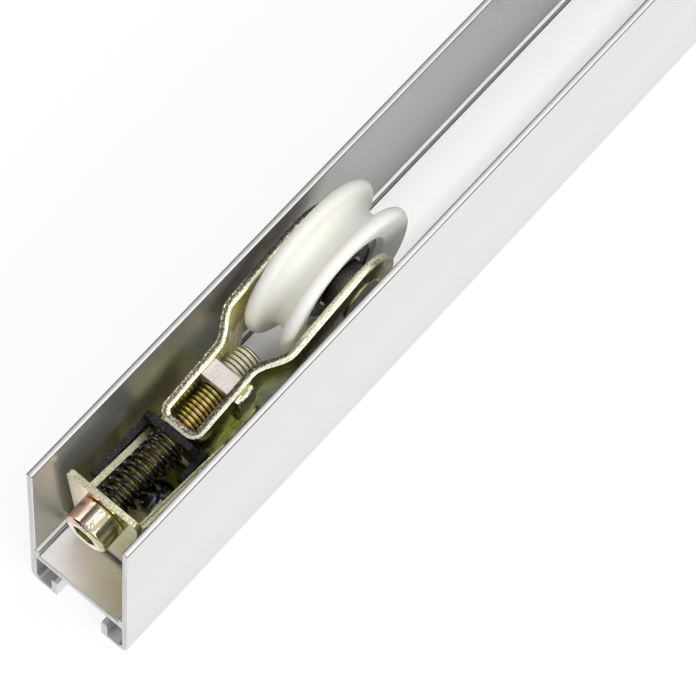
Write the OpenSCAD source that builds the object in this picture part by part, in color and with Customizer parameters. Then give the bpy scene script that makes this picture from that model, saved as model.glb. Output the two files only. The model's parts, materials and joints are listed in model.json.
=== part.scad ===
// Sliding-door bottom rail with a spring-loaded, screw-adjusted grooved roller.
// Lengths are in millimetres. X runs along the rail, Y across it and Z up.
// The origin is under the middle of the rail, at the level of its bottom flanges.

/* [Rail] */
// Length of the rail
rail_length = 240; // [180:10:400]
// Width over the two walls
rail_width = 25.5; // [25.3:0.1:26]
// Height of the walls
rail_height = 55.2; // [54:0.1:60]
// Thickness of the walls
wall_t = 1.4; // [1.2:0.1:1.5]
// Height of the channel floor's upper face
floor_z = 14.7; // [14:0.1:14.8]
// Thickness of the channel floor
floor_t = 2.4; // [1.6:0.1:2.6]
// Height of the small ledge at the foot of each wall, above the floor
ledge_h = 1.9; // [1.8:0.1:2]
// Width of that ledge
ledge_w = 0.95; // [0.8:0.05:1]
// Thickness of the inturned bottom flanges
flange_t = 1.3; // [1:0.1:1.6]
// Thickness of the upturned lip on each bottom flange
lip_t = 1.5; // [1.2:0.1:1.8]
// Height of the lips
lip_h = 6.6; // [5:0.1:7]
// Width of the open slot between the lips
slot_w = 11.7; // [11:0.1:12.5]

/* [Wheel] */
// Outer diameter of the wheel
wheel_d = 37; // [36:0.1:37.4]
// Width of the wheel
wheel_w = 11.7; // [11.4:0.1:12]
// Radius of the round groove that runs on the track
groove_r = 3; // [2.6:0.1:3.2]
// Distance of the axle from the rail's near end
axle_x = 72.7; // [72.5:0.1:73.5]
// Height of the axle
axle_z = 46.7; // [46.5:0.1:47]

/* [Fork] */
// Upward slope of the fork, which is also the slope that it slides on
fork_tilt = 12.5; // [12:0.1:13]
// Height of the fork's strip
fork_h = 19.6; // [19:0.1:19.8]
// Thickness of the fork's strip
fork_t = 1.8; // [1.6:0.1:1.9]
// Width over the narrow neck
neck_w = 10.3; // [10.2:0.05:10.4]
// Width over the arms beside the wheel
arms_w = 17.8; // [17.6:0.1:18]

/* [Adjusting screw] */
// Upward slope of the adjusting screw
screw_tilt = 4; // [3.5:0.1:4.5]
// Length of the screw under its head
screw_length = 43; // [42:0.5:44]
// Thread diameter
thread_d = 6; // [5.8:0.1:6]
// Thread pitch
thread_pitch = 1; // [0.75:0.25:1]
// Diameter of the screw's head
head_d = 10; // [9.5:0.1:10.2]

/* [Spring] */
// Wire diameter of the spring
spring_wire = 1; // [0.8:0.1:1.1]
// Outer diameter of the spring
spring_d = 8.2; // [8:0.1:8.4]
// Number of turns of the spring
spring_turns = 7; // [6:0.5:8]

/* [Hidden] */
$fn = 64;

far = 60;
inner_w = rail_width - 2 * wall_t;
ledge_z = floor_z + ledge_h;
outer_corner_r = 2.6;
inner_corner_r = 1.2;

// Screw frame: the screw axis meets the front of the end plate here.
plate_x = 7.6;
plate_z = 41;

// Bracket
sheet_t = 1.6;
plate_t = 1.5;
plate_left = 9.3;
plate_right = 8.6;
plate_top = 7.1;
plate_taper = 0.9;
plate_corner_r = 1.2;
base_start = 9.3;
base_end = 52;
base_w = inner_w - 0.4;
left_cheek_y = 4.45;
right_cheek_y = 7.15;
bracket_screw_x = 23.5;
lift_room = 1;

// Fork, measured along its own slope from the axle
tail_x = -43.6;
bend_r = 2;
flare_start = -26.2;
flare_end = -17.6;
flare_steps = 12;
bend_steps = 6;
running_gap = 0.3;

// Nut, measured along the screw from the end plate's front
nut_start = 32.3;
nut_t = 4.4;
nut_h = 9.8;
window_gap = 0.1;
head_spread = 0.3;
head_out = 1.4;

// Rolling bearing of the 608 size
bore_d = 8;
race_in_d = 12.2;
race_out_d = 17.8;
bearing_d = 22;
bearing_w = 7;
ball_d = 3.97;
ball_pitch_r = 7.5;
ball_count = 7;
race_gap = 0.06;
seal_t = 0.4;

head_l = 6;
socket_af = 5;
socket_depth = 3;
rivet_neck_d = 6;
rivet_head_d = 10.4;
rivet_head_t = 0.45;
washer_t = 0.5;
shoe_wall_t = 1.6;

module along_rail() translate([-rail_length / 2, 0, 0]) children();

module in_screw_frame() {
    along_rail() translate([plate_x, 0, plate_z]) rotate([0, -screw_tilt, 0]) children();
}

module in_fork_frame() {
    along_rail() translate([axle_x, 0, axle_z]) rotate([0, -fork_tilt, 0]) children();
}

// A rod along X
module rod_x(r, from, to) translate([from, 0, 0]) rotate([0, 90, 0]) cylinder(r = r, h = to - from);

// A ring about Y
module ring_y(r_in, r_out, from, to) {
    rotate([-90, 0, 0]) translate([0, 0, from]) difference() {
        cylinder(r = r_out, h = to - from);
        translate([0, 0, -1]) cylinder(r = r_in, h = to - from + 2);
    }
}

// A plate that stands in the X-Z plane, between two values of Y
module upright(from, to) translate([0, to, 0]) rotate([90, 0, 0]) linear_extrude(to - from) children();

// The waste that rounds a square corner at the origin
module corner_waste(r) {
    difference() {
        translate([-1, -1]) square(r + 1);
        translate([r, r]) circle(r);
    }
}

// ---- Rail ----

module half_rail_profile() {
    half_w = rail_width / 2;
    difference() {
        translate([0, 0]) square([half_w, rail_height]);
        translate([-1, floor_z]) square([inner_w / 2 + 1, far]);
        translate([-1, flange_t + inner_corner_r]) {
            square([inner_w / 2 + 1, floor_z - floor_t - flange_t - inner_corner_r]);
        }
        translate([-1, flange_t]) square([inner_w / 2 + 1 - inner_corner_r, 2 * inner_corner_r]);
        translate([inner_w / 2 - inner_corner_r, flange_t + inner_corner_r]) circle(inner_corner_r);
        translate([-1, -1]) square([slot_w / 2 + 1, flange_t + 2]);
        translate([half_w, 0]) mirror([1, 0]) corner_waste(outer_corner_r);
    }
    translate([slot_w / 2, 0.4]) square([lip_t, lip_h - 0.4 - lip_t / 2]);
    translate([slot_w / 2 + lip_t / 2, lip_h - lip_t / 2]) circle(lip_t / 2);
    translate([slot_w / 2 + 0.4, 0]) square([lip_t, 1]);
    translate([slot_w / 2 + 0.4, 0.4]) circle(0.4);
    translate([inner_w / 2 - ledge_w, floor_z - 1]) square([ledge_w + 1, ledge_h + 1]);
}

module rail_profile() {
    color("gainsboro") along_rail() rotate([90, 0, 90]) linear_extrude(rail_length) {
        half_rail_profile();
        mirror([1, 0]) half_rail_profile();
    }
}

// ---- Bracket ----

module plate_outline() {
    foot = -(plate_z - ledge_z) / cos(screw_tilt) + 0.3;
    r = plate_corner_r;
    difference() {
        polygon([
            [-plate_right, plate_top], [plate_left, plate_top],
            [plate_left - plate_taper, foot], [-plate_right + plate_taper, foot]
        ]);
        translate([plate_left, plate_top]) mirror([1, 0]) mirror([0, 1]) corner_waste(r);
        translate([-plate_right, plate_top]) mirror([0, 1]) corner_waste(r);
        circle(d = thread_d + 0.6);
        translate([0, lift_room]) circle(d = thread_d + 0.6);
        translate([-thread_d / 2 - 0.3, 0]) square([thread_d + 0.6, lift_room]);
    }
}

// Right cheek: a long side wall whose top edge falls away from the end plate
module right_cheek_outline() {
    end_r = 5;
    difference() {
        union() {
            polygon([
                [base_start - 0.2, ledge_z], [plate_x + 1.2, 44.7], [34, 40.1],
                [34, ledge_z]
            ]);
            translate([34, 35.1]) circle(end_r);
            translate([30, ledge_z]) square([9, 35.1 - ledge_z]);
        }
        translate([39, ledge_z - 1]) square([4, 30]);
    }
}

module left_cheek_outline() {
    polygon([
        [base_start + 0.5, ledge_z], [plate_x + 1.4, 42.6], [27.6, 39.5], [27.6, ledge_z]
    ]);
}

// Ramp: a raised bridge in the base, parallel to the fork's lower edge
module ramp_outline() {
    low = [axle_x + tail_x * cos(fork_tilt) - 1, 0];
    slope = tan(fork_tilt);
    edge_z = axle_z - (fork_h / 2 + running_gap) / cos(fork_tilt) - slope * axle_x;
    start = low[0];
    end = 48;
    top_t = sheet_t / cos(fork_tilt);
    polygon([
        [start, ledge_z], [start, edge_z + slope * start], [end, edge_z + slope * end],
        [end, ledge_z], [end - sheet_t, ledge_z],
        [end - sheet_t, edge_z + slope * (end - sheet_t) - top_t],
        [start + sheet_t, edge_z + slope * (start + sheet_t) - top_t],
        [start + sheet_t, ledge_z]
    ]);
}

module roller_bracket() {
    color([0.78, 0.76, 0.5]) difference() {
        union() {
            in_screw_frame() translate([0.06, 0, 0]) rotate([90, 0, 90]) {
                linear_extrude(plate_t) plate_outline();
            }
            along_rail() {
                translate([base_start, -base_w / 2, ledge_z]) {
                    cube([base_end - base_start, base_w, sheet_t]);
                }
                upright(-right_cheek_y - sheet_t, -right_cheek_y) right_cheek_outline();
                upright(left_cheek_y, left_cheek_y + 1.5) left_cheek_outline();
                upright(-5.6, 5.6) ramp_outline();
            }
        }
        along_rail() translate([bracket_screw_x, 0, ledge_z - 1]) cylinder(d = 4.2, h = sheet_t + 2);
    }
}

// Self-tapping screw that holds the bracket's base down to the channel floor
module bracket_screw() {
    color("silver") along_rail() translate([bracket_screw_x, 0, ledge_z + sheet_t]) difference() {
        union() {
            intersection() {
                translate([0, 0, 1.2 - 5.2]) sphere(6.3);
                cylinder(d = 7.4, h = 2.4);
            }
            translate([0, 0, -5]) cylinder(d = 4, h = 5.1);
            translate([0, 0, -5.7]) cylinder(d1 = 2.6, d2 = 4, h = 0.71);
        }
        for (turn = [0, 90]) rotate(turn) translate([-1.9, -0.35, 1.2]) cube([3.8, 0.7, 3]);
    }
}

// ---- Fork ----

neck_mid = (neck_w - fork_t) / 2;
arm_mid = (arms_w - fork_t) / 2;
tail_mid = tail_x + fork_t / 2;

// Middle line of one half of the strip, from the tail to the arm's end
half_line = concat(
    [[tail_mid, 0]],
    [for (i = [0 : bend_steps])
        let (a = 90 * i / bend_steps)
        [tail_mid + bend_r * (1 - cos(a)), neck_mid - bend_r * (1 - sin(a))]],
    [for (i = [0 : flare_steps])
        let (u = i / flare_steps)
        [flare_start + u * (flare_end - flare_start),
         neck_mid + (arm_mid - neck_mid) * (1 - cos(180 * u)) / 2]],
    [[fork_h / 2 + 1, arm_mid]]
);

// The whole middle line, from one arm's end round the tail to the other
fork_line = concat(
    [for (i = [len(half_line) - 1 : -1 : 1]) [half_line[i][0], -half_line[i][1]]],
    [for (i = [1 : len(half_line) - 1]) half_line[i]]
);

// Unit normal of a line at its point i
function side_of(line, i) =
    let (a = line[max(i - 1, 0)], b = line[min(i + 1, len(line) - 1)], d = b - a)
    [-d[1], d[0]] / norm(d);

// The points of a line moved sideways
function beside(line, d) = [for (i = [0 : len(line) - 1]) line[i] + d * side_of(line, i)];

function reversed(list) = [for (i = [len(list) - 1 : -1 : 0]) list[i]];

module fork_plan() {
    polygon(concat(beside(fork_line, fork_t / 2), reversed(beside(fork_line, -fork_t / 2))));
}

module fork_side() {
    translate([tail_x - 1, -fork_h / 2]) square([-tail_x + 1, fork_h]);
    circle(fork_h / 2, $fn = 96);
}

// The nut's square bar passes through a window in each arm
module nut_window() {
    in_screw_frame() translate([nut_start - window_gap, -arms_w / 2, -nut_h / 2 - window_gap]) {
        cube([nut_t + 2 * window_gap, arms_w, nut_h + 2 * window_gap]);
    }
}

module wheel_fork() {
    color([0.8, 0.78, 0.55]) difference() {
        in_fork_frame() difference() {
            intersection() {
                translate([0, 0, -fork_h / 2]) linear_extrude(fork_h) fork_plan();
                upright(-arms_w, arms_w) fork_side();
            }
            rotate([90, 0, 0]) cylinder(d = rivet_neck_d + 0.1, h = far, center = true);
        }
        nut_window();
        in_screw_frame() rod_x(thread_d / 2 + 0.6, 10, 28);
    }
}

// ---- Guide shoe ----

shoe_front = tail_x - shoe_wall_t - 0.1;
shoe_low = -fork_h / 2;

module shoe_wall_outline() {
    polygon([
        [-6.9, shoe_low + 0.3], [8, shoe_low + 0.3], [8, 3.4], [7.6, 5.8], [6.6, 8],
        [5, 9.7], [-4.9, 9.7], [-6.3, 7.6], [-6.9, 4.5]
    ]);
}

module guide_shoe() {
    wall_back = shoe_front + shoe_wall_t;
    color([0.12, 0.12, 0.13]) difference() {
        in_fork_frame() {
            translate([shoe_front, 0, 0]) rotate([90, 0, 90]) {
                linear_extrude(shoe_wall_t) shoe_wall_outline();
            }
            upright(6.4, 8) polygon([[-60.5, -6], [-60.5, 6.2], [wall_back, 3.4], [wall_back, -6]]);
            translate([-50.6, -6.9, -6]) cube([50.6 + wall_back + 0.9, 1.5, 10.5]);
        }
        in_screw_frame() rod_x(thread_d / 2 + 0.3, 10, 28);
    }
}

// ---- Nut, screw and spring ----

// A bar slid in from the right, with an end spread by hammering that stops it outside the arm
module cross_nut() {
    left = neck_w / 2;
    right = -neck_w / 2 - 0.05;
    color([0.86, 0.82, 0.76]) in_screw_frame() difference() {
        union() {
            translate([nut_start, right - 0.5, -nut_h / 2]) cube([nut_t, left - right + 0.5, nut_h]);
            translate([nut_start - head_spread, right - head_out, -nut_h / 2 - head_spread]) {
                cube([nut_t + 2 * head_spread, head_out, nut_h + 2 * head_spread]);
            }
        }
        rod_x(thread_d / 2 + 0.05, nut_start - 1, nut_start + nut_t + 1);
    }
}

// Thread outline: a row of crests, each one pitch long, as [radius, distance along the screw]
thread_r = thread_d / 2;
root_r = thread_r - 0.55;
thread_from = 3;
thread_turns = floor((screw_length - thread_from - 1) / thread_pitch);
thread_points = [
    for (i = [0 : thread_turns - 1], step = [0, 0.42, 0.58])
        [step == 0 ? root_r : thread_r, thread_from + (i + step) * thread_pitch]
];

module screw_outline() {
    end = thread_from + thread_turns * thread_pitch;
    head_r = head_d / 2;
    polygon(concat(
        [[0, -head_l], [head_r - 0.9, -head_l], [head_r - 0.25, -head_l + 0.3],
         [head_r, -head_l + 0.9], [head_r, -0.25], [head_r - 0.25, 0], [thread_r - 0.1, 0],
         [thread_r - 0.1, thread_from - 0.5]],
        thread_points,
        [[root_r, end], [root_r - 0.5, screw_length], [0, screw_length]]
    ));
}

module adjusting_screw() {
    color([0.85, 0.7, 0.6]) in_screw_frame() difference() {
        rotate([0, 90, 0]) rotate_extrude() screw_outline();
        translate([-head_l - 1, 0, 0]) rotate([0, 90, 0]) {
            cylinder(d = socket_af / cos(30), h = socket_depth + 1, $fn = 6);
        }
    }
}

// Spring: a round wire swept along a helix about the screw
spring_from = plate_t + washer_t + 0.2;
spring_to = 18.8;
spring_r = (spring_d - spring_wire) / 2;
wire_sides = 8;
steps_per_turn = 20;
spring_rings = spring_turns * steps_per_turn;
spring_rise = (spring_to - spring_from - spring_wire) / spring_turns;

function wire_ring(i) =
    let (a = 360 * i / steps_per_turn, x = spring_from + spring_wire / 2 + spring_rise * i / steps_per_turn)
    [for (s = [0 : wire_sides - 1])
        let (b = 360 * s / wire_sides, r = spring_r + spring_wire / 2 * cos(b))
        [x + spring_wire / 2 * sin(b), r * sin(a), r * cos(a)]];

module compression_spring() {
    n = wire_sides;
    points = [for (i = [0 : spring_rings], p = wire_ring(i)) p];
    walls = [for (i = [0 : spring_rings - 1], s = [0 : n - 1])
        let (a = i * n + s, b = i * n + (s + 1) % n)
        [a, b, b + n, a + n]];
    near_cap = [for (s = [n - 1 : -1 : 0]) s];
    far_cap = [for (s = [0 : n - 1]) spring_rings * n + s];
    color([0.15, 0.15, 0.16]) in_screw_frame() {
        polyhedron(points = points, faces = concat(walls, [near_cap, far_cap]), convexity = 10);
    }
}

module spring_washer() {
    color("silver") in_screw_frame() difference() {
        rod_x(4.2, plate_t + 0.12, plate_t + 0.12 + washer_t);
        rod_x(thread_r + 0.2, plate_t - 1, plate_t + washer_t + 1);
    }
}

// ---- Axle ----

spacer_from = bearing_w / 2;
spacer_to = arms_w / 2 - fork_t;

module axle_rivet() {
    neck = arms_w / 2 + 0.05;
    color([0.5, 0.46, 0.4]) in_fork_frame() rotate([-90, 0, 0]) {
        cylinder(d = bore_d - 0.04, h = 2 * spacer_to - 0.04, center = true);
        cylinder(d = rivet_neck_d, h = 2 * neck, center = true);
        for (side = [0, 1]) mirror([0, 0, side]) translate([0, 0, neck]) {
            cylinder(d = rivet_head_d, h = rivet_head_t - 0.2);
            translate([0, 0, rivet_head_t - 0.2]) {
                cylinder(d1 = rivet_head_d, d2 = rivet_head_d - 0.5, h = 0.2);
            }
        }
    }
}

module axle_spacer() {
    color("silver") ring_y(bore_d / 2 + 0.03, 5.4, spacer_from + 0.02, spacer_to - 0.02);
}

module axle_spacer_left() in_fork_frame() axle_spacer();
module axle_spacer_right() in_fork_frame() mirror([0, 1, 0]) axle_spacer();

// ---- Bearing ----

module ball_track() {
    rotate([90, 0, 0]) rotate_extrude() translate([ball_pitch_r, 0]) circle(ball_d / 2 + race_gap);
}

module bearing_inner_ring() {
    color("silver") in_fork_frame() difference() {
        ring_y(bore_d / 2, race_in_d / 2, -bearing_w / 2, bearing_w / 2);
        ball_track();
    }
}

module bearing_outer_ring() {
    color("silver") in_fork_frame() difference() {
        ring_y(race_out_d / 2, bearing_d / 2, -bearing_w / 2, bearing_w / 2);
        ball_track();
    }
}

module bearing_seal() {
    color([0.1, 0.1, 0.1]) {
        ring_y(race_in_d / 2 + 0.2, race_out_d / 2, bearing_w / 2 - 0.2 - seal_t, bearing_w / 2 - 0.2);
    }
}

module bearing_seal_left() in_fork_frame() bearing_seal();
module bearing_seal_right() in_fork_frame() mirror([0, 1, 0]) bearing_seal();

module at_each_ball() {
    for (i = [0 : ball_count - 1]) rotate([0, 360 * i / ball_count, 0]) {
        translate([ball_pitch_r, 0, 0]) children();
    }
}

module bearing_balls() color("white") in_fork_frame() at_each_ball() sphere(d = ball_d);

// Half of a pressed ribbon cage: a flat ring with a cup round each ball
module cage_half() {
    inside_r = 6.8;
    outside_r = 8.2;
    color("goldenrod") difference() {
        intersection() {
            ring_y(inside_r, outside_r, 0.03, 2.3);
            union() {
                ring_y(inside_r - 1, outside_r + 1, 0.03, 0.45);
                at_each_ball() sphere(ball_d / 2 + 0.32);
            }
        }
        at_each_ball() sphere(ball_d / 2 + 0.04);
    }
}

module bearing_cage_left() in_fork_frame() cage_half();
module bearing_cage_right() in_fork_frame() mirror([0, 1, 0]) cage_half();

// ---- Wheel ----

// Section of the tyre as [radius, distance from the middle]
module tyre_section() {
    rim_r = wheel_w / 4 - groove_r / 2;
    rim_mid = wheel_d / 2 - rim_r;
    rim_y = wheel_w / 2 - rim_r;
    seat_r = bearing_d / 2;
    recess_r = seat_r + 0.5;
    hub_y = 4.9;
    difference() {
        polygon([
            [seat_r, -bearing_w / 2], [recess_r, -bearing_w / 2], [recess_r, -hub_y + 0.4],
            [recess_r + 0.4, -hub_y], [rim_mid, -wheel_w / 2], [rim_mid, wheel_w / 2],
            [recess_r + 0.4, hub_y], [recess_r, hub_y - 0.4], [recess_r, bearing_w / 2],
            [seat_r, bearing_w / 2]
        ]);
        translate([rim_mid + 0.02, 0]) circle(groove_r);
    }
    for (side = [-1, 1]) translate([rim_mid, side * rim_y]) circle(rim_r + 0.01);
}

module wheel_tyre() {
    color([0.95, 0.95, 0.92]) in_fork_frame() rotate([90, 0, 0]) {
        rotate_extrude($fn = 128) tyre_section();
    }
}

rail_profile();
roller_bracket();
bracket_screw();
wheel_fork();
guide_shoe();
cross_nut();
axle_rivet();
axle_spacer_left();
axle_spacer_right();
bearing_inner_ring();
bearing_outer_ring();
bearing_seal_left();
bearing_seal_right();
bearing_balls();
bearing_cage_left();
bearing_cage_right();
wheel_tyre();
compression_spring();
spring_washer();
adjusting_screw();
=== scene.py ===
import json
import math

import bmesh
import bpy
from mathutils import Matrix, Vector, noise


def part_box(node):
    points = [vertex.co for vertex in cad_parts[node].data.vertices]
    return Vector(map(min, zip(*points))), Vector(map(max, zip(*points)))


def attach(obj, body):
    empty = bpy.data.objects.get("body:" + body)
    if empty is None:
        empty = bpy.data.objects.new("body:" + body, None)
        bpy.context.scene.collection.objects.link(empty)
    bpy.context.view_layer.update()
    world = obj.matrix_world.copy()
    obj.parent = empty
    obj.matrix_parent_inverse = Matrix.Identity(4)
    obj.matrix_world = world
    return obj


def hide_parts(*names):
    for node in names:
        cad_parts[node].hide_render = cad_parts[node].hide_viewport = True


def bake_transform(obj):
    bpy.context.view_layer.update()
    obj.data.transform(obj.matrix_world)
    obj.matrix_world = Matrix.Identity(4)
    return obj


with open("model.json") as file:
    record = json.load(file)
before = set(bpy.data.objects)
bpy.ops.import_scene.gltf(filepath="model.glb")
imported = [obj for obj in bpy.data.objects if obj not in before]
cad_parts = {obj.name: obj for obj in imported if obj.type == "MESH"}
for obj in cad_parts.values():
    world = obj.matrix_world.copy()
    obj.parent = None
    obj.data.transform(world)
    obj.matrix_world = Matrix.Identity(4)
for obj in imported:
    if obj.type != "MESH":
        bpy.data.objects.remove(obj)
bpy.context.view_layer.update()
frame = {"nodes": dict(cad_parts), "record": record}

MM = 0.001
joints = {j["name"]: j for j in frame["record"]["behaviour"]["joints"]}
# slopes of the screw and of the fork along the rail, in degrees
SCREW_TILT = 4.0
FORK_TO_SCREW = 8.5
FORK_TILT = SCREW_TILT + FORK_TO_SCREW
AXLE = Vector(joints["wheel_spin"]["pos_m"])
SCREW = Vector(joints["screw_turn"]["pos_m"])
SCREW_AXIS = Vector(joints["screw_turn"]["axis"]).normalized()
LIFT = Vector(joints["screw_lift"]["axis"]) * math.tan(math.radians(FORK_TO_SCREW)) + SCREW_AXIS
FORK_AXIS = LIFT.normalized()
RAIL_LO, RAIL_HI = (Vector(v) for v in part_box("rail_profile"))
NEAR = RAIL_LO.x
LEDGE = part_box("roller_bracket")[0][2]

# sizes in millimetres that more than one function uses
SHEET = 1.6
FORK_SHEET = 1.8
FORK_HALF = 9.8
FORK_TAIL = -43.6
SCREW_LENGTH = 43.0
ROOT_R, CREST_R = 2.46, 3.0
NUT_NEAR, NUT_FAR = 32.3, 36.7


def frame_from(origin, x_axis):
    """Matrix of a frame in millimetres whose X lies along x_axis and whose Y is the row's."""
    x = x_axis.normalized()
    y = Vector((0, 1, 0))
    z = x.cross(y)
    m = Matrix((x, y, z)).transposed().to_4x4()
    return Matrix.Translation(origin) @ m @ Matrix.Scale(MM, 4)


IN_FORK = frame_from(AXLE, FORK_AXIS)
IN_SCREW = frame_from(SCREW, SCREW_AXIS)
IN_RAIL = Matrix.Translation((NEAR, 0, 0)) @ Matrix.Scale(MM, 4)


# ---------------------------------------------------------------- node helpers


class Nodes:
    """A material's node tree with short calls."""

    def __init__(self, name):
        self.mat = bpy.data.materials.new(name)
        self.mat.use_nodes = True
        self.tree = self.mat.node_tree
        self.tree.nodes.clear()
        self.out = self.tree.nodes.new("ShaderNodeOutputMaterial")
        self.bsdf = self.tree.nodes.new("ShaderNodeBsdfPrincipled")
        self.link(self.bsdf.outputs[0], self.out.inputs[0])
        self.coord = self.tree.nodes.new("ShaderNodeTexCoord").outputs["Object"]

    def link(self, a, b):
        self.tree.links.new(a, b)

    def put(self, socket, value):
        """Gives the socket a link or a plain value."""
        if isinstance(value, bpy.types.NodeSocket):
            self.link(value, socket)
        else:
            socket.default_value = value

    def set(self, **values):
        """Sets the shader's inputs by name, with _ for each space."""
        for key, value in values.items():
            self.put(self.bsdf.inputs[key.replace("_", " ")], value)

    def scaled(self, scale):
        node = self.tree.nodes.new("ShaderNodeMapping")
        node.inputs["Scale"].default_value = scale
        self.link(self.coord, node.inputs["Vector"])
        return node.outputs[0]

    def noise(self, scale, detail, rough=0.55, stretch=(1, 1, 1), distortion=0.0):
        node = self.tree.nodes.new("ShaderNodeTexNoise")
        node.inputs["Scale"].default_value = scale
        node.inputs["Detail"].default_value = detail
        node.inputs["Roughness"].default_value = rough
        node.inputs["Distortion"].default_value = distortion
        self.link(self.scaled(stretch), node.inputs["Vector"])
        return node.outputs["Fac"]

    def cells(self, scale):
        node = self.tree.nodes.new("ShaderNodeTexVoronoi")
        node.inputs["Scale"].default_value = scale
        self.link(self.scaled((1, 1, 1)), node.inputs["Vector"])
        return node.outputs["Distance"], node.outputs["Color"]

    def span(self, value, lo, hi, to_lo, to_hi, smooth=False):
        """Maps lo to hi onto to_lo to to_hi, and holds the value past either end."""
        node = self.tree.nodes.new("ShaderNodeMapRange")
        if smooth:
            node.interpolation_type = "SMOOTHSTEP"
        self.put(node.inputs["Value"], value)
        node.inputs["From Min"].default_value = lo
        node.inputs["From Max"].default_value = hi
        node.inputs["To Min"].default_value = to_lo
        node.inputs["To Max"].default_value = to_hi
        return node.outputs[0]

    def math(self, kind, a, b=0.0):
        node = self.tree.nodes.new("ShaderNodeMath")
        node.operation = kind
        self.put(node.inputs[0], a)
        self.put(node.inputs[1], b)
        return node.outputs[0]

    def ramp(self, value, stops):
        node = self.tree.nodes.new("ShaderNodeValToRGB")
        self.link(value, node.inputs[0])
        ends = node.color_ramp.elements
        while len(ends) < len(stops):
            ends.new(0.5)
        for end, (pos, colour) in zip(ends, stops):
            end.position = pos
            end.color = (*colour, 1)
        return node.outputs[0]

    def mix(self, factor, a, b):
        """Colour a at factor 0 and colour b at factor 1."""
        node = self.tree.nodes.new("ShaderNodeMix")
        node.data_type = "RGBA"
        # the node's colours are its inputs 6 and 7 and its output 2
        self.put(node.inputs[0], factor)
        self.put(node.inputs[6], (*a, 1) if isinstance(a, tuple) else a)
        self.put(node.inputs[7], (*b, 1) if isinstance(b, tuple) else b)
        return node.outputs[2]

    def bump(self, height, strength, distance, over=None):
        node = self.tree.nodes.new("ShaderNodeBump")
        node.inputs["Strength"].default_value = strength
        node.inputs["Distance"].default_value = distance
        self.link(height, node.inputs["Height"])
        if over is not None:
            self.link(over, node.inputs["Normal"])
        return node.outputs[0]

    def along(self, axis):
        """Object-space place along one axis, in metres."""
        parts = self.tree.nodes.new("ShaderNodeSeparateXYZ")
        self.link(self.coord, parts.inputs[0])
        return parts.outputs[axis]

    def uv_noise(self, scale, stretch):
        """Noise laid along the UV, whose first number is millimetres along an edge."""
        node = self.tree.nodes.new("ShaderNodeTexNoise")
        node.inputs["Scale"].default_value = scale
        node.inputs["Detail"].default_value = 2.0
        node.inputs["Roughness"].default_value = 0.6
        place = self.tree.nodes.new("ShaderNodeMapping")
        place.inputs["Scale"].default_value = stretch
        source = self.tree.nodes.new("ShaderNodeUVMap")
        self.link(source.outputs[0], place.inputs["Vector"])
        self.link(place.outputs[0], node.inputs["Vector"])
        return node.outputs["Fac"]

    def spark(self, scale):
        """One random grey for each small cell."""
        parts = self.tree.nodes.new("ShaderNodeSeparateColor")
        self.link(self.cells(scale)[1], parts.inputs[0])
        return parts.outputs[0]

    def uv(self):
        """The first and second numbers of the UV, as two outputs."""
        node = self.tree.nodes.new("ShaderNodeUVMap")
        parts = self.tree.nodes.new("ShaderNodeSeparateXYZ")
        self.link(node.outputs[0], parts.inputs[0])
        return parts.outputs


# ---------------------------------------------------------------- materials


def anodised(name, tone):
    """Satin aluminium with fine lines along its length. Tone is its grey."""
    n = Nodes(name)
    lines = n.noise(900, 2, 0.5, (0.012, 1, 1))
    broad = n.noise(40, 3, 0.5, (0.25, 1, 1))
    grain = n.noise(3800, 2, 0.6)
    specks = n.span(n.cells(420)[0], 0.0, 0.1, 1.0, 0.0, True)
    streak = n.span(lines, 0.3, 0.7, -0.011, 0.011)
    shade = n.math("ADD", streak, n.span(broad, 0.3, 0.7, -0.012, 0.012))
    dim = (tone, tone, tone - 0.005)
    bright = tuple(c + 0.02 for c in dim)
    colour = n.ramp(n.math("ADD", shade, 0.5), [(0.47, dim), (0.53, bright)])
    colour = n.mix(n.math("MULTIPLY", specks, 0.06), colour, (0.42, 0.42, 0.40))
    rough = n.span(n.math("ADD", grain, lines), 0.7, 1.3, 0.28, 0.32)
    n.set(Base_Color=colour, Metallic=0.85, Roughness=rough)
    low = n.bump(lines, 0.01, 0.00002)
    n.set(Normal=n.bump(grain, 0.03, 0.00002, low))
    return n.mat


def dark_corner_reflection():
    """The darker line along the rail's long rounded corners, a painted dark reflection of the surroundings.
    """
    n = Nodes("rail_corner_reflection")
    lines = n.noise(700, 3, 0.6, (0.05, 1, 1))
    n.set(Base_Color=n.ramp(lines, [(0.35, (0.10, 0.10, 0.10)), (0.65, (0.30, 0.30, 0.30))]))
    n.set(Metallic=0.85, Roughness=n.span(lines, 0.3, 0.7, 0.35, 0.5))
    n.set(Normal=n.bump(lines, 0.2, 0.00004))
    return n.mat


def sawn():
    n = Nodes("sawn_aluminium")
    arcs = n.noise(1500, 2, 0.5, (1, 1, 0.06))
    pits = n.noise(2500, 3, 0.6)
    colour = n.ramp(arcs, [(0.3, (0.56, 0.56, 0.55)), (0.7, (0.71, 0.71, 0.70))])
    n.set(Base_Color=colour, Metallic=0.75, Roughness=n.span(pits, 0.3, 0.7, 0.36, 0.52))
    n.set(Normal=n.bump(n.math("ADD", arcs, pits), 0.3, 0.00004))
    return n.mat


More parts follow.
